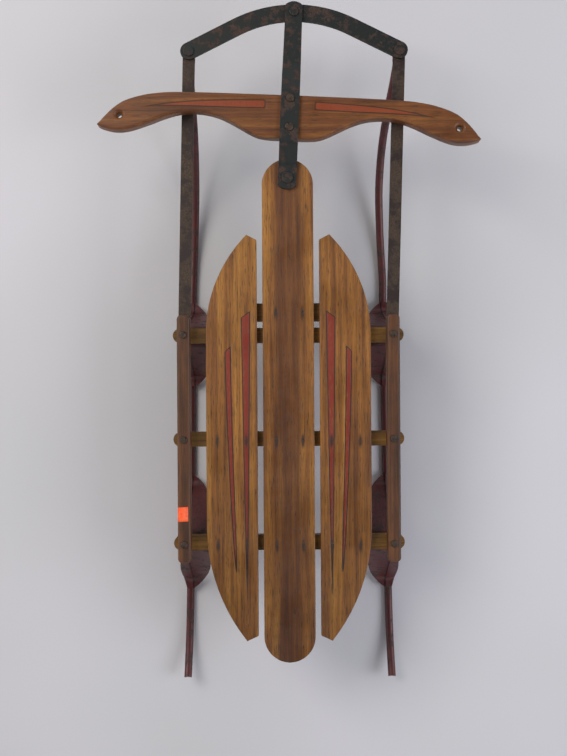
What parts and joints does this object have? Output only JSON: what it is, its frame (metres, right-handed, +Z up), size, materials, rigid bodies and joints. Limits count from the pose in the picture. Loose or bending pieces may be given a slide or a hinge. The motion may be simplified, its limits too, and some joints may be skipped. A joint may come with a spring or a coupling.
{
  "type": "steerable wooden sled",
  "caption": "Wooden coasting sled with a slatted deck and side rails on pressed steel runners, steered by a wooden crossbar through a steel bar and bow that bend the runner fronts.",
  "frame": {"origin": "centre of the overall footprint, on the ground under the runners", "axes": "+Y ahead towards the steering bow, +X to the right seen from above with the bow ahead, +Z up"},
  "size_m": [0.5505, 1.0157, 0.1747],
  "materials": {
    "varnished_boards": "aged varnish, satin",
    "dark_benches": "dull, grimed",
    "brown_rails": "worn varnish",
    "striped_handle_wood": "aged varnish with painted stripes",
    "worn_black_steel": "worn black paint over brown rust",
    "rusty_strap_steel": "bare steel with brown rust",
    "dark_bolts": "dull, oxidised",
    "maroon_runner_paint": "old gloss paint, chipped"
  },
  "bodies": {
    "frame": {"centre_board": "varnished_boards", "left_side_board": "varnished_boards", "right_side_board": "varnished_boards", "front_bench": "dark_benches", "middle_bench": "dark_benches", "rear_bench": "dark_benches", "front_cleat": "dark_benches", "left_rail": "brown_rails", "right_rail": "brown_rails", "rail_bolts": "dark_bolts", "steering_pin": "worn_black_steel", "left_runner": "maroon_runner_paint", "right_runner": "maroon_runner_paint", "left_front_knee": "maroon_runner_paint", "right_front_knee": "maroon_runner_paint", "left_rear_knee": "maroon_runner_paint", "right_rear_knee": "maroon_runner_paint"},
    "steering": {"steering_handle": "striped_handle_wood", "centre_bar": "worn_black_steel", "handle_bolts": "dark_bolts"},
    "bow_link": {"bow": "worn_black_steel", "bow_rivets": "worn_black_steel"},
    "left_strap_arm": {"left_strap": "rusty_strap_steel"},
    "right_strap_arm": {"right_strap": "rusty_strap_steel"},
    "left_runner_tip": {"left_runner_front": "maroon_runner_paint"},
    "right_runner_tip": {"right_runner_front": "maroon_runner_paint"}
  },
  "joints": [
    {"name": "steering_turn", "type": "hinge", "parent": "frame", "child": "steering", "pos_m": [0, 0.252, 0.153], "axis": [0, 0, 1], "range_deg": [-8.4, 13.6], "stiffness_Nm_per_rad": 12},
    {"name": "bow_pivot", "type": "hinge", "parent": "steering", "child": "bow_link", "pos_m": [0.01093, 0.49275, 0.148], "axis": [0, 0, 1], "range_deg": [-13.6, 8.4]},
    {"name": "left_strap_pivot", "type": "hinge", "parent": "frame", "child": "left_strap_arm", "pos_m": [-0.1517, 0.025, 0.141], "axis": [0, 0, 1], "range_deg": [-4.9, 7.93]},
    {"name": "right_strap_pivot", "type": "hinge", "parent": "frame", "child": "right_strap_arm", "pos_m": [0.1517, 0.025, 0.141], "axis": [0, 0, 1], "range_deg": [-4.9, 7.93]},
    {"name": "left_runner_flex", "type": "hinge", "parent": "frame", "child": "left_runner_tip", "pos_m": [-0.1522, 0.097, 0.005], "axis": [0, 0, 1], "range_deg": [-5.93, 9.6]},
    {"name": "right_runner_flex", "type": "hinge", "parent": "frame", "child": "right_runner_tip", "pos_m": [0.1522, 0.097, 0.005], "axis": [0, 0, 1], "range_deg": [-5.93, 9.6]}
  ],
  "couplings": [
    {"joint": "bow_pivot", "follows": "steering_turn", "ratio": -1},
    {"joint": "left_strap_pivot", "follows": "steering_turn", "ratio": 0.58263},
    {"joint": "right_strap_pivot", "follows": "steering_turn", "ratio": 0.58263},
    {"joint": "left_runner_flex", "follows": "steering_turn", "ratio": 0.70542},
    {"joint": "right_runner_flex", "follows": "steering_turn", "ratio": 0.70542}
  ]
}
